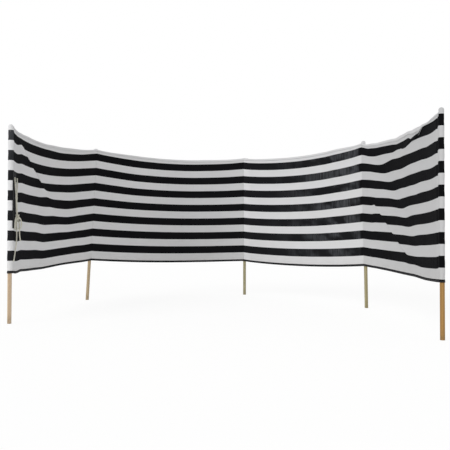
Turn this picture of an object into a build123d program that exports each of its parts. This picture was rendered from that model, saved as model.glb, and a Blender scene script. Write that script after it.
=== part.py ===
from build123d import *
import math
import os

# Beach windbreak: a long strip of striped cloth carried by five wooden poles
# that are pushed into the ground. Each pole stands in a sleeve, closed at its
# top, that is sewn to the cloth's outer side. The strip curves round a
# sheltered place, and every bay bellies outwards between its two poles. A
# doubled tie cord hangs inside the first bay.
#
# Millimetres. The origin is the middle of pole 3's flat foot, at the ground.
# +X runs to the right and +Y away from someone who stands in the shelter's
# open side, and +Z is up.

# ---------------------------------------------------------------- sizes ----
# Cloth heights above the ground, and its thicknesses
cloth_bottom = 260.0          # ground to the cloth's lower edge at a pole
cloth_height = 788.0          # lower edge to upper edge
cloth_thickness = 1.6
top_hem_height = 15.0
top_hem_thickness = 3.0
binding_height = 9.0          # black binding along the lower edge
binding_thickness = 3.0

# Poles
pole_diameter = 22.0
pole_lean_x = (6.0, 60.0, 0.0, -18.0, -3.0)   # top's shift along X over pole_lean_height
pole_lean_height = 1060.0

# Sleeves round the poles
sleeve_clearance = 1.0        # pole to the inside of the sleeve, all round
sleeve_wall = 1.5
sleeve_rise = (4.0, 9.0, 7.0, 12.0, 3.0)      # closed end above the cloth's upper edge
sleeve_end_round = 7.0
cuff_step = 0.2               # how far the black cuff stands proud of its sleeve

# Bays, from the left-hand pole to the right-hand one. A span is measured
# between pole centres at the ground.
bay_1_span = 1215.0
bay_2_span = 1200.0
bay_3_span = 1160.0
bay_4_span = 1242.0
bay_span = (bay_1_span, bay_2_span, bay_3_span, bay_4_span)
bay_heading = (82.3, 18.9, -49.5, -86.4)      # degrees from +X, seen from above
bay_bow = (95.0, 185.0, 92.0, 70.0)           # how far the cloth bellies outwards
bow_place = (0.60, 0.60, 0.45, 0.35)          # where it is deepest, as a share of the span
upper_sag = (20.0, 13.0, 17.0, 20.0)          # how much lower the upper edge is in mid bay
lower_sag = (28.0, 21.0, 25.0, 18.0)          # the same at the lower edge
cloth_lift = (7.0, 22.0, 0.0, 8.0, 0.0)       # how much higher the cloth sits on a pole

# Seams and clearances
seam_gap = 0.3                # left between two pieces that are sewn together
bay_end_gap = 0.3             # from each bay's end to the middle of its pole
cut_margin = 60.0             # how far a cutting shape runs past what it cuts

# Tie cord
cord_diameter = 7.0
small_knot_radii = (11.0, 6.5, 8.0)           # along the cloth, off the cloth, upright
main_knot_radii = (15.0, 11.0, 15.0)

# ---------------------------------------------------------- derived sizes ----
pole_radius = pole_diameter / 2
sleeve_inner = pole_radius + sleeve_clearance
sleeve_outer = sleeve_inner + sleeve_wall
cuff_outer = sleeve_outer + cuff_step
cloth_top = cloth_bottom + cloth_height
pole_count = len(pole_lean_x)
bay_count = pole_count - 1
home_pole = 2                 # the pole at the origin, counted from nought


def direction(degrees):
    """Unit vector in plan at that heading."""
    return Vector(math.cos(math.radians(degrees)), math.sin(math.radians(degrees)), 0)


def find_feet():
    """Centres of the poles at the ground, walked out from the home pole."""
    feet = [Vector(0, 0, 0)] * pole_count
    for bay in range(home_pole, bay_count):
        feet[bay + 1] = feet[bay] + direction(bay_heading[bay]) * bay_span[bay]
    for bay in range(home_pole - 1, -1, -1):
        feet[bay] = feet[bay + 1] - direction(bay_heading[bay]) * bay_span[bay]
    return feet


feet = find_feet()


def pole_centre(pole, height):
    """Point on a pole's leaning axis at a height above the ground."""
    return feet[pole] + Vector(pole_lean_x[pole] * height / pole_lean_height, 0, height)


def pole_axis_plane(pole):
    """Plane at the pole's foot with its Z along the leaning axis."""
    up = pole_centre(pole, pole_lean_height) - feet[pole]
    return Plane(origin=feet[pole], x_dir=(0, 1, 0), z_dir=up)


def sleeve_top(pole):
    """Height of the sleeve's closed end."""
    return cloth_top + cloth_lift[pole] + sleeve_rise[pole]


def sleeve_mouth(pole):
    """Height of the sleeve's open lower end, at the cloth's lower edge."""
    return cloth_bottom + cloth_lift[pole]


def trim_between(solid, low, high):
    """Keep what lies between two heights, cut level."""
    reach = 4 * sleeve_outer + abs(solid.center().Z)
    middle = solid.center()
    slab = Pos(middle.X, middle.Y, (low + high) / 2) * Box(reach, reach, high - low)
    return solid & slab


# ------------------------------------------------------------ the poles ----
def make_pole(pole):
    """Round wooden pole with a level foot, ending just inside its sleeve's top."""
    length = sleeve_top(pole) - sleeve_wall - sleeve_clearance
    bar = pole_axis_plane(pole) * Pos(0, 0, -cut_margin) * Cylinder(
        pole_radius, length + cut_margin, align=(Align.CENTER, Align.CENTER, Align.MIN)
    )
    bar = trim_between(bar, 0, 2 * length)
    return fillet(bar.edges().sort_by(Axis.Z)[-1],
                  sleeve_end_round - sleeve_wall - sleeve_clearance)


# ---------------------------------------------------------- the sleeves ----
def sleeve_body(pole, radius, low, high, rounding):
    """Solid round bar on the pole's axis from low to high, rounded at its top."""
    bar = pole_axis_plane(pole) * Pos(0, 0, low) * Cylinder(
        radius, high - low, align=(Align.CENTER, Align.CENTER, Align.MIN)
    )
    return fillet(bar.edges().sort_by(Axis.Z)[-1], rounding) if rounding else bar


def make_sleeve(pole):
    """Cloth tube with a closed, rounded top, from above its cuff."""
    low = sleeve_mouth(pole) + binding_height + seam_gap
    high = sleeve_top(pole)
    outside = sleeve_body(pole, sleeve_outer, low, high, sleeve_end_round)
    inside = sleeve_body(
        pole, sleeve_inner, low - cut_margin, high - sleeve_wall, sleeve_end_round - sleeve_wall
    )
    return outside - inside


def make_cuff(pole):
    """Black binding round the sleeve's mouth."""
    low = sleeve_mouth(pole)
    high = low + binding_height
    ring = sleeve_body(pole, cuff_outer, low, high, 0)
    return ring - sleeve_body(pole, sleeve_inner, low - cut_margin, high + cut_margin, 0)


# ------------------------------------------------------------- the bays ----
def belly_turn(bay, share):
    """Degrees from the chord to the belly's tangent at the end that lies this
    share of the span from the belly's deepest point."""
    return 2 * math.degrees(math.atan2(bay_bow[bay], bay_span[bay] * share))


def heading_at(pole):
    """Heading of the cloth where it passes a pole, midway between its two bays."""
    headings = []
    if pole > 0:
        bay = pole - 1
        headings.append(bay_heading[bay] - belly_turn(bay, 1 - bow_place[bay]))
    if pole < bay_count:
        headings.append(bay_heading[pole] + belly_turn(pole, bow_place[pole]))
    return sum(headings) / len(headings)


def seat_point(pole, height, offset):
    """Point beside a pole, on its sheltered side."""
    return pole_centre(pole, height) + direction(heading_at(pole) - 90) * offset


def belly_arcs(start, end, bow, place, shift):
    """Two arcs from start to end that meet, square to the bow, at its deepest
    point. shift moves both outwards, on the same centres."""
    along = (end - start).normalized()
    outwards = Vector(-along.Y, along.X, 0)
    span = (end - start).length
    arcs = []
    for near, side, share in ((start, along, place), (end, -along, 1 - place)):
        half = span * share
        radius = (half**2 + bow**2) / (2 * bow)
        centre = near + side * half + outwards * (bow - radius)
        half_angle = math.asin(half / radius) / 2
        middle_way = outwards * math.cos(half_angle) - side * math.sin(half_angle)
        arcs.append(ThreePointArc(
            centre + (near - centre).normalized() * (radius + shift),
            centre + middle_way * (radius + shift),
            centre + outwards * (radius + shift),
        ))
    return arcs


def wall_section(bay, height, thickness, offset):
    """Level slice through a bay's cloth at a height. offset is from the poles'
    centres to the middle of the cloth."""
    start = seat_point(bay, height, offset)
    end = seat_point(bay + 1, height, offset)
    inset = (end - start).normalized() * bay_end_gap
    sides = [
        belly_arcs(start + inset, end - inset, bay_bow[bay], bow_place[bay], shift)
        for shift in (thickness / 2, -thickness / 2)
    ]
    ends = [Line(outer @ 0, inner @ 0) for outer, inner in zip(*sides)]
    return make_face(sides[0] + sides[1] + ends)


def bay_wall(bay, thickness, offset):
    """Bay's cloth as one wall, taller than the cloth."""
    low = wall_section(bay, cloth_bottom - cut_margin, thickness, offset)
    high = wall_section(bay, cloth_top + cut_margin, thickness, offset)
    return loft([low, high], ruled=True)


def edge_height(bay, along, above):
    """Height of a line on the cloth, given as its height above the lower edge.
    It sags like the edges do, and along is measured over the bay's span."""
    share = along / bay_span[bay]
    lift = cloth_lift[bay] + (cloth_lift[bay + 1] - cloth_lift[bay]) * share
    sag = lower_sag[bay] + (upper_sag[bay] - lower_sag[bay]) * above / cloth_height
    return cloth_bottom + lift + above + sag * ((2 * share - 1) ** 2 - 1)


def elevation_band(bay, low, high):
    """Upright slab between two sagging lines on the cloth, seen square to the
    bay and running past both poles."""
    chord = feet[bay + 1] - feet[bay]
    view = Plane(origin=feet[bay], x_dir=chord, z_dir=chord.cross(Vector(0, 0, 1)))
    places = (-cut_margin - bay_bow[bay], bay_span[bay] / 2,
              bay_span[bay] + cut_margin + bay_bow[bay])
    lower = [(along, edge_height(bay, along, low)) for along in places]
    upper = [(along, edge_height(bay, along, high)) for along in places]
    outline = [ThreePointArc(*lower), Line(lower[2], upper[2]),
               ThreePointArc(*upper), Line(lower[0], upper[0])]
    return extrude(view * make_face(outline), amount=bay_bow[bay] + cut_margin, both=True)


def make_band(bay, low, high, thickness, behind):
    """Strip of a bay's cloth between two heights above its lower edge. behind
    is the radius of what it is sewn to, round the pole."""
    offset = behind + seam_gap + thickness / 2
    return bay_wall(bay, thickness, offset) & elevation_band(bay, low, high)


def make_bay(bay):
    low = binding_height + seam_gap
    high = cloth_height - top_hem_height - seam_gap
    return make_band(bay, low, high, cloth_thickness, sleeve_outer)


def make_top_hem(bay):
    low = cloth_height - top_hem_height
    return make_band(bay, low, cloth_height, top_hem_thickness, sleeve_outer)


def make_binding(bay):
    return make_band(bay, 0, binding_height, binding_thickness, cuff_outer)


# --------------------------------------------------------- the tie cord ----
# Two strands are sewn to the first bay's cloth and hang together to a small
# knot and then a bow with two loops and two tails. All places are measured
# from pole 1's foot.
small_knot_at = (24.5, 37.0, 668.0)
main_knot_at = (29.0, 41.0, 570.0)
cord_routes = {
    "tie_strand_1": [
        (22.5, 16, 780), (23, 17.5, 752), (24, 22.5, 722), (24.5, 29.5, 694),
        (24, 32.5, 662), (25, 33.5, 628), (26.5, 35, 596), (28, 36, 572),
    ],
    "tie_strand_2": [
        (18, 68, 780), (21, 64, 752), (23.5, 54.5, 722), (24.5, 45.5, 694),
        (24.5, 41.5, 662), (25, 42.5, 628), (26.5, 44, 596), (27.5, 45, 572),
    ],
    "tie_loop_right": [
        (30.5, 43, 572), (41, 50, 561), (46.5, 53.5, 545), (47.5, 53.5, 527),
        (45.5, 51.5, 510), (40, 46.5, 501.5), (33, 41, 501.5), (28, 37.5, 511),
        (27, 36.5, 528), (28, 38, 546), (29, 40, 566),
    ],
    "tie_loop_left": [
        (27, 38, 577), (25, 26.5, 566), (23.5, 18, 548), (23, 14.7, 528),
        (22.5, 14.5, 507.4), (21.5, 22.5, 502.8), (21, 30.5, 507.4),
        (21.5, 30, 525), (22.5, 29.5, 543), (25, 32, 560),
    ],
    "tie_tail_long": [
        (25.5, 44.5, 572), (23.5, 46.5, 548), (23, 47.5, 520), (23.5, 45.5, 488),
        (25, 42, 454), (24.5, 36, 421), (23.5, 25.5, 389), (22.5, 12.5, 358),
        (23, -0.5, 330),
    ],
    "tie_tail_short": [
        (31, 50, 572), (32, 57.5, 548), (33.5, 60.5, 520), (34.5, 59.5, 492),
        (35.5, 57.5, 464), (40, 60, 437),
    ],
}


def cord_path(route):
    """Straight runs joined by tangent arcs, each as large as its runs allow."""
    points = [feet[0] + Vector(*place) for place in route]
    radii = []
    for before, here, after in zip(points, points[1:], points[2:]):
        turn = math.radians((here - before).get_angle(after - here))
        shorter = min((here - before).length, (after - here).length)
        radii.append(0.45 * shorter / math.tan(turn / 2))
    return FilletPolyline(*points, radius=radii), radii


def make_cord(name, route):
    path, radii = cord_path(route)
    section = Plane(origin=path @ 0, z_dir=path % 0) * Circle(cord_diameter / 2)
    tube = sweep(section, path=path)
    ideal = math.pi * (cord_diameter / 2) ** 2 * path.length
    print(f"{name}: length {path.length:.1f}, smallest radius {min(radii):.1f}, "
          f"volume {tube.volume / ideal:.4f} of section x length")
    print("   radii", " ".join(f"{r:.0f}" for r in radii))
    return tube


def make_knot(at, radii):
    """Pulled-up knot, as a rounded lump: along the cloth, off it and upright."""
    place = Plane(origin=feet[0] + Vector(*at), x_dir=direction(heading_at(0)), z_dir=(0, 0, 1))
    return place * scale(Sphere(1.0), by=radii)


# ------------------------------------------------------------- the part ----
def build_parts():
    parts = {}
    for pole in range(pole_count):
        number = pole + 1
        parts[f"pole_{number}"] = make_pole(pole)
        parts[f"sleeve_{number}"] = make_sleeve(pole)
        parts[f"sleeve_cuff_{number}"] = make_cuff(pole)
    for bay in range(bay_count):
        number = bay + 1
        parts[f"cloth_bay_{number}"] = make_bay(bay)
        parts[f"top_hem_{number}"] = make_top_hem(bay)
        parts[f"bottom_binding_{number}"] = make_binding(bay)

    cords = {name: make_cord(name, route) for name, route in cord_routes.items()}
    main_knot = make_knot(main_knot_at, main_knot_radii)
    small_knot = make_knot(small_knot_at, small_knot_radii)
    for name, cord in cords.items():
        parts[name] = cord - main_knot
    for name in ("tie_strand_1", "tie_strand_2"):
        small_knot -= cords[name]
    parts["tie_knot_small"] = small_knot
    parts["tie_knot_main"] = main_knot
    return parts


os.makedirs("parts", exist_ok=True)
for name, solid in build_parts().items():
    export_step(solid, f"parts/{name}.step")
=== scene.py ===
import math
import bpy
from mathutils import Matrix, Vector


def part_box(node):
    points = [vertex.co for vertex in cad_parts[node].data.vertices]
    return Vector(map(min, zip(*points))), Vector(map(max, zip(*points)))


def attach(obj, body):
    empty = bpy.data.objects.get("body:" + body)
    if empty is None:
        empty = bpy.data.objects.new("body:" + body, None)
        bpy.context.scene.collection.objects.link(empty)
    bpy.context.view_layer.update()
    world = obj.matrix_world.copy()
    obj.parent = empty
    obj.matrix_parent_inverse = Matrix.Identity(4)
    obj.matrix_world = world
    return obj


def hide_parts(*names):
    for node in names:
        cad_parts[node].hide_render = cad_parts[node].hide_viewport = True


bl_info = {
    "name": "Beach Windbreak",
    "version": (1, 0, 0),
    "blender": (4, 5, 0),
    "location": "View3D > Sidebar > Windbreak",
    "description": "Dresses a beach windbreak in striped cloth, bare wood and a tie cord",
    "category": "Object",
}

from collections import namedtuple
from dataclasses import dataclass
from functools import partialmethod
from itertools import accumulate, pairwise

import bmesh
import bpy
from bpy.props import FloatProperty, FloatVectorProperty, PointerProperty
from mathutils import Vector

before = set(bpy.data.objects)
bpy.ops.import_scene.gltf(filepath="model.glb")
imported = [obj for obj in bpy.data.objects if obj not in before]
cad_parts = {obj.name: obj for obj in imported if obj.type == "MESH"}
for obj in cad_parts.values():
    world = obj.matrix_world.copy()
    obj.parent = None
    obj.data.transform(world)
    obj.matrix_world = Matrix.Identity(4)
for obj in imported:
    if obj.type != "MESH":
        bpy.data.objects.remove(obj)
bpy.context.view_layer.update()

BODY = "root"
UP = Vector((0, 0, 1))
UV = "cloth"  # in metres, along the cloth and up it

# Lengths are in metres. Poles are counted from the left.
POLES = range(5)
LEAN_HEIGHT = 1.06
POLE_LEAN = (0.006, 0.060, 0.0, -0.018, -0.003)  # the top's shift along X over LEAN_HEIGHT

# Cloth
CLOTH_BOTTOM = 0.260
CLOTH_HEIGHT = 0.798
CLOTH_THICKNESS = 0.0011
CLOTH_LIFT = (0.007, 0.022, 0.0, 0.008, 0.0)  # how much higher it sits on a pole
HEM_HEIGHT = 0.015
HEM_SEAM = 0.0025  # from its lower edge to its stitches
BINDING_HEIGHT = 0.009
BINDING_SEAM = 0.006  # from its lower edge to its stitches
BAND_THICKNESS = 0.0007  # a band is a hem or a binding
BAND_GAP = 0.0011  # from its middle to its two sides
BAND_SHIFT = 0.0004  # from the cloth's middle to its own
BAND_INSET = 0.0006
PANEL_HEIGHTS = (0.004, CLOTH_HEIGHT - 0.003)  # the cloth between its bands
EDGE_DROP = (0.015, 0.010, 0.006, 0.014, 0.0)  # of the upper edge at a pole
EDGE_DROP_REACH = 0.030

# Stripes, as heights on the cloth
STRIPE_PERIOD = 0.107
STRIPE_FIRST = 0.0665
STRIPE_DARK = 0.0545

# Sleeves, of which the last one is the tightest
SEAT = (0.0146, 0.0146, 0.0146, 0.0146, 0.0122)  # from a pole's middle to the cloth's
SLEEVE_RADIUS = (0.0129, 0.0129, 0.0129, 0.0129, 0.0119)
SLEEVE_RISE = (-0.005, 0.0, -0.002, 0.003, -0.006)  # closed end above CLOTH_HEIGHT
SLEEVE_THICKNESS = 0.0010
SLEEVE_MOUTH = 0.006
FLANGE_REACH = 0.035  # from a pole's middle to the edge of the sleeve's sewn flange
FLANGE_SEAM = 0.0045  # from that edge to its stitches
CAP_REACH = 0.045  # how far the closed end runs down inside
CAP_DOME = 0.0085
CUFF_STEP = 0.0009
CUFF_THICKNESS = 0.0009

# Steps of the meshes
BAY_STEPS = (230, 140)
SLEEVE_ROWS = 130
CUFF_ROWS = 6
CAP_STEPS = (28, 26)


def srgb(red, green, blue):
    """Shader colour of a screen value from 0 to 255."""
    return tuple(
        c / 12.92 if c <= 0.04045 else ((c + 0.055) / 1.055) ** 2.4
        for c in (red / 255, green / 255, blue / 255)
    )


# ---- settings ----
def colour_property(name, description, default):
    return FloatVectorProperty(
        name=name, description=description, default=default, subtype="COLOR", min=0, max=1
    )


def length_property(name, description, default):
    return FloatProperty(
        name=name, description=description, default=default, unit="LENGTH",
        subtype="DISTANCE", precision=4,
    )


def strength_property(name, description, default):
    return FloatProperty(
        name=name, description=description, default=default, min=0.0, soft_max=2.0,
        subtype="FACTOR",
    )


class WindbreakSettings(bpy.types.PropertyGroup):
    light_stripe: colour_property(
        "Light stripe", "Colour of the cloth's light stripes", srgb(232, 232, 233)
    )
    dark_stripe: colour_property(
        "Dark stripe", "Colour of the cloth's dark stripes", srgb(15, 15, 17)
    )
    binding: colour_property("Binding", "Colour of the tape along the lower edge", srgb(18, 18, 21))
    cord: colour_property("Cord", "Colour of the cotton tie cord", srgb(232, 230, 216))
    thread: length_property("Thread pitch", "Distance between two threads of the cloth", 0.0009)
    stitch: length_property("Stitch length", "Length of one stitch and its gap", 0.0036)
    cord_diameter: length_property("Cord diameter", "Thickness of the tie cord", 0.007)
    crease_depth: strength_property(
        "Crease depth", "How deep the soft folds are, 1 for as pitched", 1.0
    )
    sky: strength_property("Sky", "Strength of the even light from all round", 0.485)
    key_light: strength_property("Key light", "Strength of the sun on the left", 1.05)
    fill_light: strength_property("Fill light", "Strength of the weak sun on the right", 0.42)


def chosen():
    """The settings of the scene."""
    return bpy.context.scene.windbreak


# ---- shader helper ----
class Socket:
    """An output of a node. Arithmetic on it adds Math nodes."""

    def __init__(self, graph, output):
        self.graph = graph
        self.output = output

    def operate(self, operation, *others, swap=False):
        values = [*others, self] if swap else [self, *others]
        return self.graph.add("ShaderNodeMath", {"operation": operation}, dict(enumerate(values)))

    __add__ = __radd__ = partialmethod(operate, "ADD")
    __sub__ = partialmethod(operate, "SUBTRACT")
    __rsub__ = partialmethod(operate, "SUBTRACT", swap=True)
    __mul__ = __rmul__ = partialmethod(operate, "MULTIPLY")
    __truediv__ = partialmethod(operate, "DIVIDE")
    fract = partialmethod(operate, "FRACT")
    sine = partialmethod(operate, "SINE")
    size = partialmethod(operate, "ABSOLUTE")

    def above(self, edge, soft):
        """0 below the edge and 1 above it, over a soft step."""
        return self.graph.add(
            "ShaderNodeMapRange", {"interpolation_type": "SMOOTHSTEP"},
            {"Value": self, "From Min": edge - soft / 2, "From Max": edge + soft / 2},
        )

    def within(self, low, high, soft, soft_high=None):
        """1 between two edges, over soft steps."""
        return self.above(low, soft) * (1 - self.above(high, soft_high or soft))


class Graph:
    """Node tree of a material or of the world."""

    def __init__(self, tree):
        self.tree = tree
        tree.nodes.clear()

    def add(self, kind, settings=None, inputs=None, output=0):
        """Adds a node, makes its settings and fills its sockets."""
        node = self.tree.nodes.new(kind)
        for name, value in (settings or {}).items():
            setattr(node, name, value)
        for name, value in (inputs or {}).items():
            socket = node.inputs[name]
            if isinstance(value, Socket):
                self.tree.links.new(value.output, socket)
            else:
                socket.default_value = value
        return Socket(self, node.outputs[output])

    def outputs(self, kind, inputs=None):
        """Adds a node and gives its outputs by name."""
        node = self.add(kind, None, inputs).output.node
        return {socket.name: Socket(self, socket) for socket in node.outputs}

    def split(self, vector):
        return self.outputs("ShaderNodeSeparateXYZ", {0: vector}).values()

    def join(self, x, y, z=0.0):
        return self.add("ShaderNodeCombineXYZ", None, {0: x, 1: y, 2: z})

    def noise(self, place, scale=1.0, detail=3.0, roughness=0.5):
        """Noise at a vector, or at a tuple of its parts."""
        place = self.join(*place) if isinstance(place, tuple) else place
        return self.add(
            "ShaderNodeTexNoise", None,
            {"Vector": place, "Scale": scale, "Detail": detail, "Roughness": roughness},
        )

    def mix(self, share, first, second, blend="MIX"):
        """Colour between the first and the second."""
        inputs = {0: share, 6: self.colour(first), 7: self.colour(second)}
        settings = {"data_type": "RGBA", "blend_type": blend}
        return self.add("ShaderNodeMix", settings, inputs, output=2)

    def shade(self, colour, amount):
        """Colour times a grey amount."""
        return self.mix(1.0, colour, self.join(amount, amount, amount), "MULTIPLY")

    @staticmethod
    def colour(value):
        return value if isinstance(value, Socket) else (*value[:3], 1.0)

    def bump(self, height, distance, strength=1.0, below=None):
        inputs = {"Height": height, "Distance": distance, "Strength": strength}
        if below:
            inputs["Normal"] = below
        return self.add("ShaderNodeBump", None, inputs)

    def surface(self, shader, target="ShaderNodeOutputMaterial"):
        """Ends the tree in this shader."""
        node = self.tree.nodes.new(target)
        self.tree.links.new(shader.output, node.inputs["Surface"])

    def principled(self, colour, roughness, normal, specular):
        """Ends the tree in a plain surface."""
        self.surface(self.add("ShaderNodeBsdfPrincipled", None, {
            "Base Color": colour, "Roughness": roughness, "Normal": normal,
            "Specular IOR Level": specular,
        }))


def new_material(name):
    material = bpy.data.materials.new(name)
    material.use_nodes = True
    return material, Graph(material.node_tree)


# ---- materials ----
STITCH_WIDTH = 0.0009
STRIPE_WANDER = 0.0010  # how far a stripe's edge wanders
STRIPE_SOFT = 0.0007  # how wide a stripe's edge is
# faded black, also the colour of painted light and painted sheen on the dark stripes
FADED_AND_LIT_BLACK = srgb(96, 98, 102)
STITCH_WHITE = srgb(205, 203, 196)
GRIME = srgb(176, 166, 148)
SANDY_STAIN = srgb(112, 96, 72)
CORD_SOIL = srgb(176, 168, 142)


def stitch_mask(across, along, row):
    """1 on the stitches of a row that runs where across equals row."""
    on_row = 1 - (across - row).size().above(STITCH_WIDTH / 2, 0.0003)
    return on_row * (along / chosen().stitch).fract().within(0.10, 0.78, 0.08)


def cloth_coordinates(graph):
    cloth = graph.add("ShaderNodeUVMap", {"uv_map": UV})
    along, height, _ = graph.split(cloth)
    return cloth, along, height


def paler(colour, factor):
    return tuple(min(1.0, c * factor + 0.004) for c in colour)


def stripe_mask(graph, cloth, height):
    """1 on the dark stripes."""
    wander = (graph.noise(cloth, 14.0, 2.0) - 0.5) * STRIPE_WANDER
    phase = ((height + wander - STRIPE_FIRST) / STRIPE_PERIOD).fract()
    edge = STRIPE_SOFT / STRIPE_PERIOD
    return phase.within(edge / 2, STRIPE_DARK / STRIPE_PERIOD, edge)


def strip_tone_and_painted_light(graph, along, height, light_cloth, dark_cloth):
    """Mostly painted light along the whole strip: painted sheen as light streaks in the
    third bay's dark stripes, which are painted lighter as a whole, a painted band of
    light where the third bay begins, and painted shade over the fourth bay and the right
    part of the second. The dark stripes are also a little lighter all along."""
    second, third, fourth = (strip_start(bay) for bay in BAYS[1:])
    ripple = graph.noise((along * 62, height * 6), detail=4.0, roughness=0.65)
    patch = graph.noise((along * 6 + height * 4, height * 9), detail=2.0)
    # painted sheen: lighter streaks in the third bay's dark stripes
    painted_sheen_streaks = 0.14 + ripple.above(0.47, 0.36) * 0.42
    painted_sheen_streaks = along.above(third + 0.55, 0.80) * patch.above(0.50, 0.24) * painted_sheen_streaks
    # dark stripes a little lighter everywhere, and painted lighter in the third bay as painted light
    fade_and_painted_light = 0.013 + along.within(third, fourth - 0.03, 0.01, 0.02) * (0.050 + painted_sheen_streaks)
    # painted light: a brighter band where the third bay begins
    painted_light_band = along.within(third, third + 0.05, 0.01, 0.05) * 0.07
    # painted shade: the fourth bay and the right part of the second bay are darkened
    painted_shade = along.above(fourth, 0.02) * 0.16
    painted_shade = painted_shade + along.within(second + 0.65, third, 0.80, 0.01) * 0.15
    light_cloth = graph.shade(light_cloth, 1 + painted_light_band - painted_shade)
    return light_cloth, graph.mix(fade_and_painted_light, dark_cloth, FADED_AND_LIT_BLACK)


def striped_cloth(name, rows=(), columns=(), painted_brightness=1.0, fade_and_painted_light=0.0, strip=False):
    """Plain-woven cotton with woven stripes. rows are heights and columns are places
    along the piece that carry a line of stitches. painted_brightness paints the light
    stripes brighter or darker, fade_and_painted_light paints the dark ones lighter and
    more so towards the top, both as painted light, and strip adds the bays' painted
    light and shade with a slight lift of their dark stripes."""
    material, graph = new_material(name)
    cloth, along, height = cloth_coordinates(graph)
    dark = stripe_mask(graph, cloth, height)

    warp = graph.noise((along * 900, height * 30), detail=2.0)
    weft = graph.noise((along * 30, height * 900), detail=2.0)
    yarn = (warp + weft) * 0.5
    cloudy = graph.noise(cloth, 5.0, 4.0) - 0.5
    # painted light: a factor that paints the light stripes brighter or darker
    light_cloth = graph.shade(chosen().light_stripe, (0.93 + yarn * 0.10 + cloudy * 0.07) * painted_brightness)
    black = chosen().dark_stripe
    dark_cloth = graph.mix((yarn - 0.35) * 0.9 + cloudy * 0.5, black, paler(black, 2.2))
    if strip:
        light_cloth, dark_cloth = strip_tone_and_painted_light(graph, along, height, light_cloth, dark_cloth)
    # painted light: the dark stripes painted lighter, most towards the top
    if fade_and_painted_light:
        share = fade_and_painted_light * (0.25 + height.above(0.66, 0.30))
        dark_cloth = graph.mix(share, dark_cloth, FADED_AND_LIT_BLACK)
    grime = (1 - height.above(0.06, 0.12)) * graph.noise(cloth, 22.0, 5.0) * 0.16
    colour = graph.mix(dark, graph.mix(grime, light_cloth, GRIME), dark_cloth)

    turn = math.pi / chosen().thread
    weave = (along * turn).sine() * (height * turn).sine()
    normal = graph.bump(graph.noise((along * 46, height * 1.6)), 0.0022)
    normal = graph.bump(graph.noise(cloth, 16.0, 5.0, 0.55), 0.0016, below=normal)
    normal = graph.bump(weave * 0.5 + yarn * 0.8, 0.00022, 0.7, below=normal)

    lines = [stitch_mask(height, along, row) for row in rows]
    lines += [stitch_mask(along, height, column) for column in columns]
    if lines:
        stitches = sum(lines[1:], lines[0])
        colour = graph.mix(stitches * 0.8, colour, STITCH_WHITE)
        normal = graph.bump(stitches, 0.0005, below=normal)
    graph.principled(colour, 0.90 - dark * 0.06 + (yarn - 0.5) * 0.10, normal, 0.03)
    return material


def binding_tape(name):
    """Black twill tape with a line of black stitches near its edge."""
    material, graph = new_material(name)
    cloth, along, height = cloth_coordinates(graph)
    twill = ((along + height) * (math.pi / 0.0008)).sine()
    worn = graph.noise(cloth, 120.0, 4.0)
    stitches = stitch_mask(height, along, BINDING_SEAM)
    black = chosen().binding
    colour = graph.mix(worn.above(0.62, 0.3) * 0.7 + stitches * 0.5, black, paler(black, 3))
    normal = graph.bump(twill, 0.0002, 0.7)
    normal = graph.bump(stitches, 0.0005, below=normal)
    normal = graph.bump(graph.noise(cloth, 60.0, 4.0), 0.0012, below=normal)
    graph.principled(colour, 0.62 + worn * 0.2, normal, 0.3)
    return material


def bare_wood(name, light, dark):
    """Turned softwood pole: long grain, darker late wood, fine pores, sand-worn foot."""
    material, graph = new_material(name)
    place = graph.outputs("ShaderNodeTexCoord")["Object"]
    x, y, z = graph.split(place)
    drift = graph.noise((x * 9, y * 9, z * 1.3), detail=2.0)
    fibres = (x * 150 + drift * 2, y * 150, z * 2.2)
    long_grain = graph.noise(fibres, detail=4.0, roughness=0.6)
    pores = graph.noise((x * 900, y * 900, z * 26), roughness=0.6)
    late_wood = ((x * 420 + y * 160 + drift * 9).sine() * 0.5 + 0.5) * 0.35
    grain = long_grain.above(0.5, 0.5) * 0.6 + late_wood + (pores - 0.5) * 0.35
    colour = graph.mix(grain, light, dark)
    stain = (1 - z.above(0.03, 0.07)) * graph.noise(place, 60.0, 4.0).above(0.42, 0.3)
    colour = graph.mix(stain * 0.45, colour, SANDY_STAIN)
    colour = graph.mix(pores.above(0.70, 0.10) * 0.4, colour, [c * 0.5 for c in dark])
    normal = graph.bump(long_grain, 0.0010)
    normal = graph.bump(pores, 0.0004, below=normal)
    graph.principled(colour, 0.62 + pores * 0.22, normal, 0.35)
    return material


def cotton_cord(name):
    """Twisted cotton: fibres that run with the strands, with painted shade in the grooves between
    them.
    """
    material, graph = new_material(name)
    cloth, along, around = cloth_coordinates(graph)
    fibre = (around * 900 + along * 500).sine()
    fuzz = graph.noise((along * 420, around * 900), detail=4.0)
    soil = graph.noise(cloth, 70.0, 4.0)
    groove = graph.add("ShaderNodeAttribute", {"attribute_name": "groove"}, output=2)
    # painted shade: the grooves between the strands are darkened
    shadow = [c * 0.5 for c in chosen().cord]
    colour = graph.mix(groove * 0.6 + (fuzz - 0.5) * 0.5, chosen().cord, shadow)
    colour = graph.mix(soil.above(0.55, 0.3) * 0.25, colour, CORD_SOIL)
    normal = graph.bump(fibre * 0.5 + fuzz, 0.0004)
    graph.principled(colour, 0.86 + fuzz * 0.1, normal, 0.25)
    return material


# ---- the shapes ----
def smooth(value, low, high):
    """0 up to low and 1 from high on, with a soft rise between."""
    share = min(1.0, max(0.0, (value - low) / (high - low)))
    return share * share * (3 - 2 * share)


def hump(value, begin, full, wane, end):
    """1 from full to wane and 0 outside begin and end, with soft slopes."""
    return smooth(value, begin, full) * (1 - smooth(value, wane, end))


def bell(away, width):
    """1 where away is 0, and hardly anything past twice the width."""
    return math.exp(-((away / width) ** 2))


def even(steps):
    """Even shares from 0 to 1."""
    return [step / steps for step in range(steps + 1)]


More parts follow.
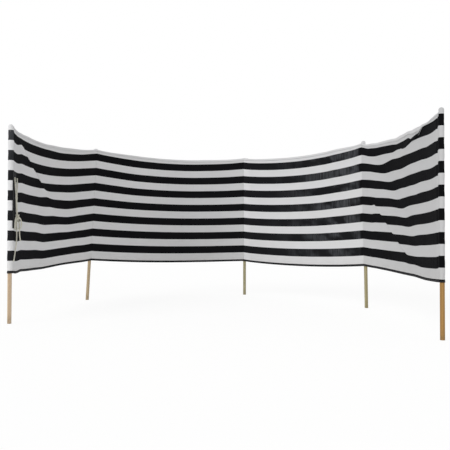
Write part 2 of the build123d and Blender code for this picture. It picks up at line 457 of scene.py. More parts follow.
def running_lengths(line):
    """Metres from the start of a line to each of its points."""
    return [0.0, *accumulate(math.dist(here, there) for here, there in pairwise(line))]


def find_foot(pole):
    """Middle of a pole at the ground, from its box and its lean."""
    low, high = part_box(f"pole_{pole + 1}")
    middle = (low + high) / 2
    drift = POLE_LEAN[pole] * high.z / LEAN_HEIGHT / 2
    return Vector((middle.x - drift, middle.y, 0))


FEET = [find_foot(pole) for pole in POLES]


def pole_axis(pole, height):
    """Middle of a pole at a height above the ground."""
    return FEET[pole] + Vector((POLE_LEAN[pole] * height / LEAN_HEIGHT, 0, height))


@dataclass
class Crease:
    """A soft fold across a bay, where the height on the cloth is line[0] +
    line[1] * share + line[2] * share^2. The cloth below it is pushed up, less and
    less with distance, or only the line itself sinks if sink."""

    line: tuple
    push: float
    shares: tuple  # of the span: where it begins, is full, wanes and ends
    width: float
    reach: float = 9.0  # how far down the push is felt
    ridge: float = 0.0  # how far its line stands towards the shelter
    widen: float = 0.0  # how much wider it is past the middle of the span
    sink: bool = False

    def at(self, share, height):
        """How far above the fold a place is, and the fold's width and strength there."""
        start, slope, curve = self.line
        away = height - (start + slope * share + curve * share * share)
        breadth = self.width + self.widen * smooth(share, 0.42, 0.72)
        return away, breadth, hump(share, *self.shares)

    def rise(self, share, height):
        """How far it moves the cloth up."""
        away, breadth, strength = self.at(share, height)
        if self.sink:
            return -self.push * strength * bell(away, breadth)
        below = 1 - smooth(away, -breadth / 2, breadth / 2)
        return self.push * strength * below * math.exp(min(0.0, away) / self.reach)

    def relief(self, share, height):
        """How far it moves the cloth out."""
        away, breadth, strength = self.at(share, height)
        return -self.ridge * strength * bell(away, 0.6 * breadth)


def dip(height, depth, shares, width):
    """A level line on the cloth that sinks, or rises where depth is negative."""
    return Crease((height, 0.0, 0.0), depth, shares, width, sink=True)


# A swell leans over by a share of the span on its way up. A pinch's place is a
# distance from the left-hand pole, or from the right-hand one where it is negative.
Swell = namedtuple("Swell", "middle width amount lean")
Pinch = namedtuple("Pinch", "place width depth low high")


@dataclass
class Bay:
    """The cloth between two poles, over the share of the span and the height on it."""

    first: int  # the left-hand one of its poles
    bow: float  # how deep it bellies out
    deepest: float  # the share of the span where the belly is deepest
    upper_sag: float
    lower_sag: float
    skew: float = 1.0  # above 1 it sags most right of the middle, below 1 left of it
    slack: float = 0.0  # how much less the cloth sags halfway up
    creases: tuple = ()
    swells: tuple = ()
    pinches: tuple = ()

    def __post_init__(self):
        self.number = self.first + 1
        self.chord = FEET[self.first + 1] - FEET[self.first]
        self.span = self.chord.length

    def headings(self):
        """Headings of the cloth where it leaves its first pole and reaches the other."""
        chord = math.atan2(self.chord.y, self.chord.x)
        leaving = 2 * math.atan2(self.bow, self.span * self.deepest)
        arriving = 2 * math.atan2(self.bow, self.span * (1 - self.deepest))
        return chord + leaving, chord - arriving

    def belly(self, share):
        """How far it bellies out: two arcs that meet at the deepest place."""
        side = self.deepest if share <= self.deepest else 1 - self.deepest
        half = side * self.span
        radius = (half * half + self.bow * self.bow) / (2 * self.bow)
        away = (share - self.deepest) * self.span
        return self.bow - radius + math.sqrt(max(0.0, radius * radius - away * away))

    def edge_drop(self, share, height):
        """How far the upper edge is drawn down near a pole."""
        left, right = EDGE_DROP[self.first:self.first + 2]
        drop = left * (1 - smooth(share, 0.02, 0.28)) + right * smooth(share, 0.74, 0.98)
        return drop * bell(CLOTH_HEIGHT - height, EDGE_DROP_REACH)

    def level(self, share, height):
        """Height above the ground of a line on the sagging cloth."""
        left, right = CLOTH_LIFT[self.first:self.first + 2]
        lift = left * (1 - share) + right * share
        part = height / CLOTH_HEIGHT
        bend = share ** self.skew
        arch = 4 * bend * (1 - bend)
        sag = self.lower_sag * (1 - part) + self.upper_sag * part
        sag -= self.slack * 4 * part * (1 - part)
        rise = sum(crease.rise(share, height) for crease in self.creases)
        rise -= self.edge_drop(share, height)
        return CLOTH_BOTTOM + lift + height - sag * arch + rise

    def relief(self, share, height):
        """How far the cloth stands out of its even belly, outwards."""
        out = sum(crease.relief(share, height) for crease in self.creases)
        for swell in self.swells:
            away = share - swell.middle - swell.lean * (height / CLOTH_HEIGHT - 0.5)
            out += swell.amount * bell(away, swell.width)
        for pinch in self.pinches:
            from_pole = share if pinch.place >= 0 else 1 - share
            away = from_pole * self.span - abs(pinch.place)
            low, high = pinch.low, pinch.high
            reach = hump(height, low - 0.05, low + 0.03, high - 0.03, high + 0.02)
            out += pinch.depth * reach * bell(away, pinch.width)
        return out * hump(share, 0.0, 0.012, 0.988, 1.0)

    def point(self, share, height, inwards=0.0):
        """Point on the cloth, or this far towards the shelter from it."""
        level = self.level(share, height)
        start, end = seat(self.first, level), seat(self.first + 1, level)
        along = (end - start).normalized()
        outwards = Vector((-along.y, along.x, 0))
        relief = self.relief(share, height) * chosen().crease_depth
        place = start.lerp(end, share) + outwards * (self.belly(share) + relief - inwards)
        place.z = level
        return place

    def lengths(self, steps=64):
        """Running length along the middle of the cloth at each step of the span."""
        return running_lengths([self.point(share, CLOTH_HEIGHT / 2) for share in even(steps)])


BAYS = [
    Bay(
        0, bow=0.095, deepest=0.60, upper_sag=0.030, lower_sag=0.030, skew=1.2,
        creases=[
            Crease((0.783, -0.494, -0.205), 0.018, (0.03, 0.16, 0.70, 1.0), 0.022,
                   ridge=0.007, widen=0.25),
            dip(0.740, 0.009, (0.0, 0.015, 0.055, 0.14), 0.11),
            dip(0.400, 0.010, (0.0, 0.12, 0.12, 0.75), 9.0),
            dip(0.790, 0.005, (0.08, 0.17, 0.25, 0.36), 0.06),
            dip(0.810, 0.007, (0.22, 0.36, 0.48, 0.62), 0.05),
            dip(0.220, 0.012, (0.35, 0.52, 0.72, 0.88), 0.20),
            dip(0.460, -0.008, (0.40, 0.53, 0.66, 0.84), 0.050),
            dip(0.765, 0.007, (0.52, 0.68, 0.85, 1.00), 0.05),
            dip(0.600, -0.005, (0.72, 0.95, 1.10, 1.20), 0.17),
        ],
        swells=[Swell(0.55, 0.10, 0.004, 0.1), Swell(0.82, 0.07, -0.004, 0.0)],
        pinches=[Pinch(0.030, 0.008, 0.005, 0.26, 0.55)],
    ),
    Bay(
        1, bow=0.185, deepest=0.60, upper_sag=0.026, lower_sag=0.021, slack=0.008,
        creases=[dip(0.600, -0.005, (-0.20, -0.10, 0.08, 0.32), 0.17)],
        swells=[Swell(0.34, 0.05, -0.003, 0.1), Swell(0.78, 0.05, -0.006, 0.0),
                Swell(0.92, 0.04, 0.004, 0.0)],
    ),
    Bay(
        2, bow=0.092, deepest=0.45, upper_sag=0.031, lower_sag=0.025, skew=0.84, slack=0.008,
        creases=[dip(0.450, -0.004, (0.55, 0.80, 1.10, 1.20), 0.20)],
        swells=[Swell(0.62, 0.03, 0.003, 0.1), Swell(0.75, 0.03, -0.003, 0.0),
                Swell(0.90, 0.03, -0.004, 0.2)],
    ),
    Bay(
        3, bow=0.070, deepest=0.35, upper_sag=0.032, lower_sag=0.018,
        creases=[
            dip(0.450, -0.004, (-0.20, -0.10, 0.05, 0.14), 0.20),
            dip(0.785, 0.010, (0.06, 0.15, 0.34, 0.46), 0.035),
            dip(0.772, 0.008, (0.30, 0.40, 0.45, 0.56), 0.028),
            Crease((0.800, -0.950, 0.0), 0.011, (-0.01, 0.06, 0.45, 0.75), 0.085,
                   ridge=-0.004, sink=True),
            Crease((0.513, -1.159, 0.749), 0.010, (0.07, 0.12, 0.58, 0.80), 0.012,
                   reach=0.18, ridge=0.004),
            dip(0.656, -0.014, (0.19, 0.33, 0.44, 0.58), 0.020),
            dip(0.708, -0.009, (0.31, 0.39, 0.43, 0.475), 0.020),
            dip(0.709, 0.011, (0.46, 0.53, 0.555, 0.61), 0.022),
            Crease((0.610, 0.230, -0.040), 0.029, (0.41, 0.59, 0.66, 0.97), 0.034,
                   reach=0.15, ridge=0.010),
            dip(0.765, 0.022, (0.53, 0.61, 0.70, 0.77), 0.027),
            dip(0.580, 0.009, (0.72, 0.90, 0.97, 1.00), 0.14),
            dip(0.812, 0.030, (0.62, 0.94, 1.10, 1.20), 0.045),
            dip(0.800, -0.006, (0.82, 0.90, 0.94, 1.00), 0.040),
            dip(0.640, -0.006, (0.80, 0.88, 0.92, 0.98), 0.040),
            dip(0.468, 0.007, (0.42, 0.50, 0.62, 0.72), 0.035),
            dip(0.090, 0.007, (0.46, 0.55, 0.95, 1.00), 0.050),
        ],
        pinches=[Pinch(-0.032, 0.010, 0.004, 0.02, 0.78)],
    ),
]


PoleFrame = namedtuple("PoleFrame", "along inwards")


def pole_frame(pole):
    """Unit vectors at a pole: along the cloth, on a heading midway between those of
    its two bays, and towards the sheltered side."""
    headings = [bay.headings()[pole - bay.first] for bay in BAYS if pole - bay.first in (0, 1)]
    heading = sum(headings) / len(headings)
    along = Vector((math.cos(heading), math.sin(heading), 0))
    return PoleFrame(along, Vector((along.y, -along.x, 0)))


POLE_FRAMES = [pole_frame(pole) for pole in POLES]


def seat(pole, height):
    """Middle of the cloth where it passes in front of a pole."""
    return pole_axis(pole, height) + POLE_FRAMES[pole].inwards * SEAT[pole]


def pole_spot(pole, height, along, inwards):
    """Point at a height on the cloth, this far along and inwards from a pole's middle."""
    axes = POLE_FRAMES[pole]
    middle = pole_axis(pole, CLOTH_BOTTOM + CLOTH_LIFT[pole] + height)
    return middle + axes.along * along + axes.inwards * inwards


# ---- mesh helpers ----
def layer_of(layers, name):
    return layers.get(name) or layers.new(name)


def add_grid(mesh, columns, rows, place, cloth_uv, low=0.0, high=1.0):
    """Adds a grid that place(u, v) puts in space, with u from 0 to 1 and v from low
    to high. Gives each corner's u and v."""
    layer = layer_of(mesh.loops.layers.uv, UV)
    made = bmesh.ops.create_grid(mesh, x_segments=columns, y_segments=rows, size=0.5)["verts"]
    tall = high - low
    spots = {spot: (spot.co.x + 0.5, low + tall * (spot.co.y + 0.5)) for spot in made}
    for face in {face for corner in made for face in corner.link_faces}:
        for loop in face.loops:
            loop[layer].uv = cloth_uv(*spots[loop.vert])
    for corner, (u, v) in spots.items():
        corner.co = place(u, v)
    return spots


def link(name, data):
    """Adds an object with this data to the scene."""
    added = bpy.data.objects.new(name, data)
    bpy.context.scene.collection.objects.link(added)
    return added


def link_mesh(name, mesh, material):
    data = bpy.data.meshes.new(name)
    mesh.to_mesh(data)
    mesh.free()
    data.shade_smooth()
    data.materials.append(material)
    return link(name, data)


def make_piece(mesh, node, part, material, thickness=0.0, replaced=True):
    """Turns a bmesh into a piece on the frame, in the place of its node."""
    piece = link_mesh(f"{node}_{part}", mesh, material)
    if thickness:
        wall = piece.modifiers.new("Cloth thickness", "SOLIDIFY")
        wall.thickness = thickness
        wall.offset = 0.0
    if replaced:
        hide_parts(node)
    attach(piece, BODY)
    return piece


def rope_frames(line):
    """Two square directions across a line at each of its points, without twist."""
    before, after = [line[0], *line[:-1]], [*line[1:], line[-1]]
    tangents = [(there - here).normalized() for here, there in zip(before, after)]
    side = tangents[0].orthogonal().normalized()
    frames = []
    for tangent in tangents:
        side = (side - tangent * side.dot(tangent)).normalized()
        frames.append((side, tangent.cross(side)))
    return frames


def add_rope(mesh, line, radius, sides=18, strands=3, pitch=0.021, depth=0.17):
    """Adds a cord of strands that twist round a line, with rounded ends."""
    frames, run = rope_frames(line), running_lengths(line)
    last = len(line) - 1
    groove = layer_of(mesh.verts.layers.float, "groove")

    def hollow(u, v):
        """0 on the back of a strand and 1 in the groove between two strands."""
        turn = math.tau * (u + run[round(v)] / pitch)
        return (1 - abs(math.sin(strands / 2 * turn))) ** 1.5

    def place(u, v):
        row = round(v)
        to_end = min(run[row], run[last] - run[row]) / radius
        cap = math.sqrt(max(0.0, 1 - (1 - min(1.0, to_end + 0.12)) ** 2))
        reach = radius * cap * (1 - depth * 2 * hollow(u, v))
        side, other = frames[row]
        angle = math.tau * u
        return line[row] + side * (reach * math.cos(angle)) + other * (reach * math.sin(angle))

    spots = add_grid(mesh, sides, last, place,
                     lambda u, v: (run[round(v)], u * math.tau * radius), high=last)
    for corner, (u, v) in spots.items():
        corner[groove] = hollow(u, v)
    bmesh.ops.remove_doubles(mesh, verts=list(spots), dist=1e-6)
    edges = [edge for edge in mesh.edges if edge.is_boundary]
    bmesh.ops.holes_fill(mesh, edges=edges, sides=0)
    bmesh.ops.recalc_face_normals(mesh, faces=mesh.faces)


# ---- the tie cord ----
# Places are in millimetres from pole 1's foot.
Cord = namedtuple("Cord", "length far_end places")
CORDS = {
    "tie_strand_1": Cord(0.210, "knot", [
        (22.5, 16, 780), (23, 17.5, 752), (24, 22.5, 722), (24.5, 29.5, 694), (24, 32.5, 662),
        (25, 33.5, 628), (26.5, 35, 596), (28, 36, 572),
    ]),
    "tie_strand_2": Cord(0.210, "knot", [
        (18, 68, 780), (21, 64, 752), (23.5, 54.5, 722), (24.5, 45.5, 694), (24.5, 41.5, 662),
        (25, 42.5, 628), (26.5, 44, 596), (27.5, 45, 572),
    ]),
    "tie_loop_right": Cord(0.150, "object", [
        (30.5, 43, 572), (41, 50, 561), (46.5, 53.5, 545), (47.5, 53.5, 527), (45.5, 51.5, 510),
        (40, 46.5, 501.5), (33, 41, 501.5), (28, 37.5, 511), (27, 36.5, 528), (28, 38, 546),
        (29, 40, 566),
    ]),
    "tie_loop_left": Cord(0.142, "object", [
        (27, 38, 577), (25, 26.5, 566), (23.5, 18, 548), (23, 14.7, 528), (22.5, 14.5, 507.4),
        (21.5, 22.5, 502.8), (21, 30.5, 507.4), (21.5, 30, 525), (22.5, 29.5, 543),
        (25, 32, 560),
    ]),
    "tie_tail_long": Cord(0.250, "bare", [
        (25.5, 44.5, 572), (23.5, 46.5, 548), (23, 47.5, 520), (23.5, 45.5, 488), (25, 42, 454),
        (24.5, 36, 421), (23.5, 25.5, 389), (22.5, 12.5, 358), (23, -0.5, 330),
    ]),
    "tie_tail_short": Cord(0.137, "bare", [
        (31, 50, 572), (32, 57.5, 548), (33.5, 60.5, 520), (34.5, 59.5, 492), (35.5, 57.5, 464),
        (40, 60, 437),
    ]),
}
KNOTS = {  # middle, then half its size in metres along the cloth, off it and upright
    "tie_knot_small": ((24.5, 37, 668), (0.0110, 0.0065, 0.0080)),
    "tie_knot_main": ((29, 41, 570), (0.0150, 0.0110, 0.0150)),
}

TACK_THREADS = 4  # over each strand
TACK_FIRST = 0.003  # from the strand's end to the first thread
TACK_STEP = 0.0016
TACK_RADIUS = 0.0006

# Painted shade: a black tape that stands in for the shaded crevice between the first sleeve and the
# cord.
SHADE_TAPE_WIDTH = 0.056
SHADE_TAPE_LAP = 0.008  # how far its near edge goes round the sleeve
SHADE_TAPE_HEIGHTS = (0.240, 0.548)
SHADE_TAPE_GAP = 0.0013  # from the middle of the cloth to the middle of the tape
SHADE_TAPE_THICKNESS = 0.0008
SHADE_TAPE_SEAM = 0.0015  # from its lower end to its stitches
SHADE_TAPE_STEPS = (24, 90)


def cord_place(place):
    return FEET[0] + Vector(place) / 1000


def route_line(name, places):
    """Points along the smooth spline that a route's points control."""
    curve = bpy.data.curves.new(name, "CURVE")
    curve.dimensions = "3D"
    curve.resolution_u = 20
    spline = curve.splines.new("NURBS")
    spline.points.add(len(places) - 1)
    for control, place in zip(spline.points, places):
        control.co = (*cord_place(place), 1)
    spline.order_u = 3
    spline.use_endpoint_u = True
    holder = bpy.data.objects.new(name, curve)
    mesh = bpy.data.meshes.new_from_object(holder)
    line = [corner.co.copy() for corner in mesh.vertices]
    bpy.data.objects.remove(holder)
    bpy.data.meshes.remove(mesh)
    bpy.data.curves.remove(curve)
    return line


def knot_line(middle, radii, cord_radius, steps=96):
    """Overhand knot pulled up into a lump that reaches radii from its middle."""
    axes = (*POLE_FRAMES[0], UP)
    along, inwards, upright = (axis * (radius - cord_radius) for axis, radius in zip(axes, radii))
    return [
        middle
        + along * (math.sin(turn) + 2 * math.sin(2 * turn)) / 3
        - inwards * math.sin(3 * turn)
        + upright * (math.cos(turn) - 2 * math.cos(2 * turn)) / 3
        for turn in (math.tau * share for share in even(steps))
    ]


def tack_line(centre, direction, radius, steps=20):
    """A thread that goes over a cord from one side to the other."""
    inwards = POLE_FRAMES[0].inwards
    return [
        centre + (inwards * math.sin(turn) - direction * math.cos(turn)) * radius
        for turn in (math.pi * share for share in even(steps))
    ]


class WINDBREAK_OT_tie_cord(bpy.types.Operator):
    """Hangs the tie cord inside the first bay, with its knots, loops and tails"""

    bl_idname = "windbreak.tie_cord"
    bl_label = "Tie cord"

    def execute(self, context):
        radius = chosen().cord_diameter / 2
        material = cotton_cord("tie_cord")
        for name, (middle, radii) in KNOTS.items():
            mesh = bmesh.new()
            thick = min(radius * 0.95, radii[1] * 0.52)
            add_rope(mesh, knot_line(cord_place(middle), radii, thick), thick, sides=14)
            make_piece(mesh, name, "wraps", material)
        for name, cord in CORDS.items():
            line = route_line(name, cord.places)
            mesh = bmesh.new()
            add_rope(mesh, line, radius)
            make_piece(mesh, name, "rope", material)
            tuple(line[0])
        self.tack(material, radius)
        self.back()
        return {"FINISHED"}

    def tack(self, material, radius):
        """Sews the two strands' upper ends to the cloth with a few threads over each."""
        mesh = bmesh.new()
        for name in ("tie_strand_1", "tie_strand_2"):
            first, second = map(cord_place, CORDS[name].places[:2])
            down = (second - first).normalized()
            across = down.cross(POLE_FRAMES[0].inwards).normalized()
            for thread in range(TACK_THREADS):
                centre = first + down * (TACK_FIRST + TACK_STEP * thread)
                line = tack_line(centre, across, radius + 0.0004)
                add_rope(mesh, line, TACK_RADIUS, sides=6, strands=1, depth=0.0)
        make_piece(mesh, "tie_cord", "tacks", material, replaced=False)

    def back(self):
        """Sews a black tape to the cloth behind the cord, its near edge round the sleeve. It is
        painted shade: a dark sheet that stands in for the shaded crevice between the sleeve and the
        cord.
        """
        along, inwards = POLE_FRAMES[0]
        wide = SHADE_TAPE_WIDTH + SHADE_TAPE_LAP
        low, high = SHADE_TAPE_HEIGHTS
        reach = SEAT[0] + SHADE_TAPE_GAP

        def place(u, height):
            run = u * wide - SHADE_TAPE_LAP
            flat = BAYS[0].point(max(run, 0.0) / BAYS[0].span, height, SHADE_TAPE_GAP)
            turn = min(run, 0.0) / reach
            return flat + (along * math.sin(turn) - inwards * (1 - math.cos(turn))) * reach

        mesh = bmesh.new()
        add_grid(mesh, *SHADE_TAPE_STEPS, place,
                 lambda u, height: (u * wide, BINDING_SEAM - SHADE_TAPE_SEAM + height - low),
                 low, high)
        # painted shade: the black tape in the crevice beside the cord
        make_piece(mesh, "tie_cord", "tape", binding_tape("tie_tape"),
                   SHADE_TAPE_THICKNESS, replaced=False)


# ---- the poles ----
WOODS = (  # light and dark wood of each pole
    (srgb(226, 205, 178), srgb(196, 168, 136)),
    (srgb(204, 184, 152), srgb(170, 148, 114)),
    (srgb(186, 178, 144), srgb(152, 144, 108)),
    (srgb(180, 170, 134), srgb(142, 130, 94)),
    (srgb(190, 148, 88), srgb(142, 102, 50)),
)


class WINDBREAK_OT_poles(bpy.types.Operator):
    """Gives the five poles their bare wood"""

    bl_idname = "windbreak.poles"
    bl_label = "Poles"

    def execute(self, context):
        for number, (light, dark) in enumerate(WOODS, start=1):
            wood = bare_wood(f"bare_wood_{number}", light, dark)
            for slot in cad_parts[f"pole_{number}"].material_slots:
                slot.link = "OBJECT"
                slot.material = wood
        return {"FINISHED"}


# ---- the cloth ----
def strip_start(bay):
    """Running length of the strip where a bay begins."""
    return sum(other.lengths()[-1] for other in BAYS[:bay.first])


def along_strip(bay):
    """Function from a share of a bay's span to metres along the whole strip."""
    run, start = bay.lengths(), strip_start(bay)

    def place(share):
        step = share * (len(run) - 1)
        low = min(int(step), len(run) - 2)
        return start + run[low] + (run[low + 1] - run[low]) * (step - low)

    return place


class WINDBREAK_OT_cloth(bpy.types.Operator):
    """Hangs the four bays of striped cloth between the poles"""

    bl_idname = "windbreak.cloth"
    bl_label = "Cloth bays"

    def execute(self, context):
        # the strip's tones are mostly painted light and painted shade along the bays
        material = striped_cloth("striped_cloth", strip=True)
        for bay in BAYS:
            metres = along_strip(bay)
            mesh = bmesh.new()
            add_grid(mesh, *BAY_STEPS, bay.point,
                     lambda u, height: (metres(u), height), *PANEL_HEIGHTS)
            number = bay.number
            piece = make_piece(mesh, f"cloth_bay_{number}", "panel", material,
                               CLOTH_THICKNESS)
            bay.lengths()[-1]
        return {"FINISHED"}


def folded_band(bay, edge, towards, band):
    """Strip folded over an edge of a bay, up one side and down the other. towards is 1
    where the cloth lies above the edge and -1 where it lies below."""
    side = [(band * share, 1.0) for share in (1, 0.7, 0.4, 0.15)]
    side += [(0.0004, 0.85), (-0.0004, 0.45)]
    turn = [*side, (-0.0006, 0.0), *((away, -off) for away, off in reversed(side))]
    rows = len(turn) - 1
    metres = along_strip(bay)

    def height(v):
        return edge + towards * turn[round(v)][0]

    def place(u, v):
        off = turn[round(v)][1] * BAND_GAP + BAND_SHIFT
        puckers = 0.0003 * math.sin(u * bay.span * 520 + 3 * math.sin(u * 91))
        return bay.point(u, height(v), off + puckers)

    mesh = bmesh.new()
    add_grid(mesh, BAY_STEPS[0], rows, place, lambda u, v: (metres(u), height(v)), high=rows)
    if towards > 0:
        bmesh.ops.reverse_faces(mesh, faces=mesh.faces)
    return mesh


def add_bands(node, part, material, edge, towards, band):
    """Folds a strip over an edge of every bay."""
    for bay in BAYS:
        mesh = folded_band(bay, edge, towards, band)
        make_piece(mesh, f"{node}_{bay.number}", part, material, BAND_THICKNESS)


class WINDBREAK_OT_hems(bpy.types.Operator):
    """Folds and stitches the hem along the upper edge of each bay"""

    bl_idname = "windbreak.hems"
    bl_label = "Top hems"

    def execute(self, context):
        material = striped_cloth("hem_cloth", rows=[CLOTH_HEIGHT - HEM_HEIGHT + HEM_SEAM])
        add_bands("top_hem", "fold", material,
                  CLOTH_HEIGHT - BAND_INSET, -1, HEM_HEIGHT)
        return {"FINISHED"}


class WINDBREAK_OT_bindings(bpy.types.Operator):
    """Binds the lower edge of each bay with black tape"""

    bl_idname = "windbreak.bindings"
    bl_label = "Bottom bindings"

    def execute(self, context):
        add_bands("bottom_binding", "tape", binding_tape("black_binding"),
                  BAND_INSET, 1, BINDING_HEIGHT)
        return {"FINISHED"}


# ---- the sleeves ----
END_SLEEVE_PAINTED_LIGHT = {0: (1.12, 0.45), 4: (0.81, 0.0)}  # painted light on the end sleeves: how much brighter or darker their light stripes are painted, and how much lighter their dark stripes


def arc(begin, sweep, steps, reach):
    """Places round a pole, from an angle in degrees, at reach(share) from its middle."""
    places = []
    for share in even(steps):
        turn = math.radians(begin + sweep * share)
        places.append((reach(share) * math.cos(turn), reach(share) * math.sin(turn)))
    return places


def mid_sleeve_profile(radius):
    """Places (along the cloth, towards the shelter) across a sleeve: a flange, round
    the back of the pole, and the other flange."""
    half = [(FLANGE_REACH, 0.0127), (0.031, 0.0127), (0.027, 0.0126), (0.023, 0.0118),
            (0.0195, 0.0092), (0.0165, 0.0055)]
    back = arc(12, -204, 12, lambda share: radius)
    return half + back + [(-along, inwards) for along, inwards in reversed(half)]


def end_sleeve_profile(radius, seat_reach, towards):
    """The same for an end pole: from the cloth before it, round its far side and back
    to the cloth behind it. towards is 1 where the cloth leaves and -1 where it arrives."""
    slope = seat_reach - radius
    front = arc(90, 172, 18, lambda share: seat_reach - slope * smooth(share, 0.0, 0.4))
    back = [(0.0085, -0.0118), (0.0150, -0.0078), (0.0210, -0.0030), (0.0262, 0.0022),
            (0.0305, 0.0062), (0.0350, 0.0084), (0.0390, 0.0092)]
    return [(along * towards, inwards) for along, inwards in front + back]


def sleeve_profile(pole, grow=0.0):
    radius = SLEEVE_RADIUS[pole] + grow
    if pole in END_SLEEVE_PAINTED_LIGHT:
        return end_sleeve_profile(radius, SEAT[pole], 1 if pole == 0 else -1)
    return mid_sleeve_profile(radius)


def profile_lengths(profile):
    """Metres from the middle of a profile to each of its places."""
    run = running_lengths(profile)
    return [length - run[-1] / 2 for length in run]


def edge_at_pole(pole):
    """Height on the cloth where its upper edge ends up at a pole."""
    bay, share = (BAYS[pole], 0.0) if pole < len(BAYS) else (BAYS[-1], 1.0)
    return bay.level(share, CLOTH_HEIGHT) - CLOTH_BOTTOM - CLOTH_LIFT[pole]


def add_sleeve_strip(mesh, pole, low, high, rows, grow=0.0):
    """Adds the strip that goes round a pole between two heights on the cloth."""
    profile = sleeve_profile(pole, grow)
    lengths = profile_lengths(profile)
    last = len(profile) - 1

    def place(u, height):
        along, inwards = profile[round(u * last)]
        wave = 0.0005 * math.sin(height * 61 + 5 * u) + 0.0004 * math.sin(height * 143 + 11 * u)
        swell = 1 + wave * math.sin(math.pi * u) / math.hypot(along, inwards)
        return pole_spot(pole, height, along * swell, inwards * swell)

    add_grid(mesh, last, rows, place, lambda u, height: (lengths[round(u * last)], height), low, high)


def add_sleeve_cap(mesh, pole, low, top, radius):
    """Adds the closed upper end: a tube that rounds in to a pinched seam."""

    def place(u, height):
        angle = math.tau * u
        over = max(0.0, 1 - (top - height) / CAP_DOME)
        shrink = math.sqrt(max(0.0, 1 - over ** 2.6))
        pucker = 1 + 0.035 * over * math.sin(9 * angle)
        reach = radius * shrink * pucker
        flat = 1 - 0.25 * over
        return pole_spot(pole, height, reach * math.cos(angle), reach * flat * math.sin(angle))

    spots = add_grid(mesh, *CAP_STEPS, place,
                     lambda u, height: (u * math.tau * radius, height), low, top)
    bmesh.ops.remove_doubles(mesh, verts=list(spots), dist=1e-6)


class WINDBREAK_OT_sleeves(bpy.types.Operator):
    """Sews a sleeve round each pole, with a closed and rounded top"""

    bl_idname = "windbreak.sleeves"
    bl_label = "Sleeves"

    def execute(self, context):
        half_widths = [profile_lengths(sleeve_profile(pole))[-1] for pole in POLES]
        seams = [half_width - FLANGE_SEAM for half_width in half_widths]
        mid = striped_cloth("sleeve_cloth", columns=[seams[1], -seams[1]])
        # the end sleeves get painted light: brighter or darker light stripes and lighter dark stripes
        ends = {
            pole: striped_cloth(f"end_sleeve_cloth_{pole + 1}", columns=[seams[pole]],
                                painted_brightness=painted_brightness, fade_and_painted_light=fade_and_painted_light)
            for pole, (painted_brightness, fade_and_painted_light) in END_SLEEVE_PAINTED_LIGHT.items()
        }
        for pole in POLES:
            mesh = bmesh.new()
            add_sleeve_strip(mesh, pole, SLEEVE_MOUTH, edge_at_pole(pole) - 0.001, SLEEVE_ROWS)
            add_sleeve_cap(mesh, pole, CLOTH_HEIGHT - CAP_REACH, CLOTH_HEIGHT + SLEEVE_RISE[pole],
                           SLEEVE_RADIUS[pole] - 0.0003)
            bmesh.ops.recalc_face_normals(mesh, faces=mesh.faces)
            number = pole + 1
            piece = make_piece(mesh, f"sleeve_{number}", "pocket", ends.get(pole, mid),
                               SLEEVE_THICKNESS)
        return {"FINISHED"}


class WINDBREAK_OT_cuffs(bpy.types.Operator):
    """Binds the mouth of each sleeve with black tape"""

    bl_idname = "windbreak.cuffs"
    bl_label = "Sleeve cuffs"

    def execute(self, context):
        material = binding_tape("black_cuff")
        for pole in POLES:
            mesh = bmesh.new()
            add_sleeve_strip(mesh, pole, 0.0, BINDING_HEIGHT, CUFF_ROWS, grow=CUFF_STEP)
            bmesh.ops.recalc_face_normals(mesh, faces=mesh.faces)
            make_piece(mesh, f"sleeve_cuff_{pole + 1}", "tape", material,
                       CUFF_THICKNESS)
        return {"FINISHED"}


# ---- camera and stage ----
CAMERA_PLACE = (-0.151, -5.106, 0.494)
CAMERA_TILT = 90.49  # degrees, where 90 is level
CAMERA_LENS = 52.8
FLOOR_REACH = 40
FLOOR_COLOUR = (0.86, 0.86, 0.85, 1)
FLOOR_GLOW = 1.095
GLOW_SHARES = (0.33, 0.80)  # how much of the floor is glow: to light, and to the eye
SUNS = {  # spread in degrees and direction of each light
    "key_light": (40, (0.60, 0.58, -0.50)),
    "fill_light": (60, (-0.86, 0.50, -0.10)),
}


class WINDBREAK_OT_camera(bpy.types.Operator):
    """Stands the camera in front of the shelter's open side"""

    bl_idname = "windbreak.camera"
    bl_label = "Camera"

    def execute(self, context):
        data = bpy.data.cameras.new("camera")
        data.sensor_width = 36
        data.lens = CAMERA_LENS
        data.clip_end = 100
        camera = link("camera", data)
        camera.location = CAMERA_PLACE
        camera.rotation_euler = (math.radians(CAMERA_TILT), 0, 0)
        context.scene.camera = camera
        return {"FINISHED"}


def background_rays(graph):
    """1 for camera, reflected and transmitted rays, else 0."""
    rays = graph.outputs("ShaderNodeLightPath")
    seen = rays["Is Camera Ray"] + rays["Is Glossy Ray"] + rays["Is Transmission Ray"]
    return seen.operate("MINIMUM", 1.0)


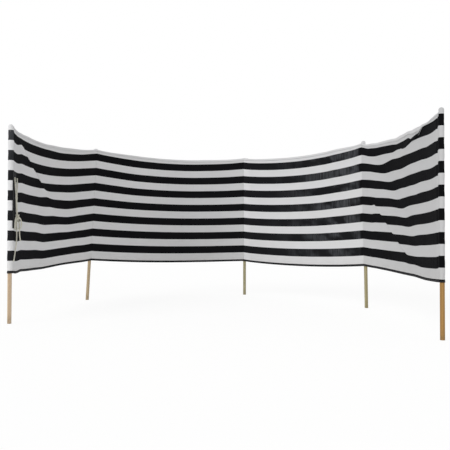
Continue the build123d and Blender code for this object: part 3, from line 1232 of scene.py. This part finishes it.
class WINDBREAK_OT_stage(bpy.types.Operator):
    """Lays a white floor and lights the windbreak like a bright overcast day"""

    bl_idname = "windbreak.stage"
    bl_label = "Stage"

    def execute(self, context):
        self.floor()
        self.sky(context)
        for name, (spread, towards) in SUNS.items():
            self.sun(name, spread, towards)
        context.scene.view_settings.view_transform = "Standard"
        return {"FINISHED"}

    def floor(self):
        mesh = bmesh.new()
        bmesh.ops.create_grid(mesh, x_segments=4, y_segments=4, size=FLOOR_REACH)
        material, graph = new_material("floor")
        matt = graph.add("ShaderNodeBsdfDiffuse", None, {"Color": FLOOR_COLOUR})
        glow = graph.add("ShaderNodeEmission", None, {"Strength": FLOOR_GLOW})
        low, high = GLOW_SHARES
        share = background_rays(graph) * (high - low) + low
        graph.surface(graph.add("ShaderNodeMixShader", None, {0: share, 1: matt, 2: glow}))
        link_mesh("floor", mesh, material)

    def sky(self, context):
        world = bpy.data.worlds.new("sky")
        world.use_nodes = True
        context.scene.world = world
        graph = Graph(world.node_tree)
        light, white = (
            graph.add("ShaderNodeBackground", None, {"Color": (1, 1, 1, 1), "Strength": strength})
            for strength in (chosen().sky, 1.0)
        )
        share = background_rays(graph)
        mixed = graph.add("ShaderNodeMixShader", None, {0: share, 1: light, 2: white})
        graph.surface(mixed, "ShaderNodeOutputWorld")

    def sun(self, name, spread, towards):
        data = bpy.data.lights.new(name, "SUN")
        data.energy = getattr(chosen(), name)
        data.angle = math.radians(spread)
        link(name, data).rotation_euler = Vector(towards).to_track_quat("-Z", "Y").to_euler()


# ---- add-on ----
STEPS = (
    WINDBREAK_OT_camera,
    WINDBREAK_OT_tie_cord,
    WINDBREAK_OT_poles,
    WINDBREAK_OT_hems,
    WINDBREAK_OT_bindings,
    WINDBREAK_OT_cloth,
    WINDBREAK_OT_cuffs,
    WINDBREAK_OT_sleeves,
    WINDBREAK_OT_stage,
)


class WINDBREAK_PT_sidebar(bpy.types.Panel):
    """Lists the windbreak's settings and the steps that make it"""

    bl_idname = "WINDBREAK_PT_sidebar"
    bl_label = "Beach Windbreak"
    bl_space_type = "VIEW_3D"
    bl_region_type = "UI"
    bl_category = "Windbreak"

    def draw(self, context):
        settings = context.scene.windbreak
        column = self.layout.column(align=True)
        for name in settings.__annotations__:
            column.prop(settings, name)
        for step in STEPS:
            self.layout.operator(step.bl_idname)


CLASSES = (WindbreakSettings, *STEPS, WINDBREAK_PT_sidebar)


def register():
    for item in CLASSES:
        bpy.utils.register_class(item)
    bpy.types.Scene.windbreak = PointerProperty(type=WindbreakSettings)


def unregister():
    del bpy.types.Scene.windbreak
    for item in reversed(CLASSES):
        bpy.utils.unregister_class(item)


def main():
    register()
    for step in STEPS:
        getattr(bpy.ops.windbreak, step.bl_idname.split(".")[1])()


if __name__ == "__main__":
    main()
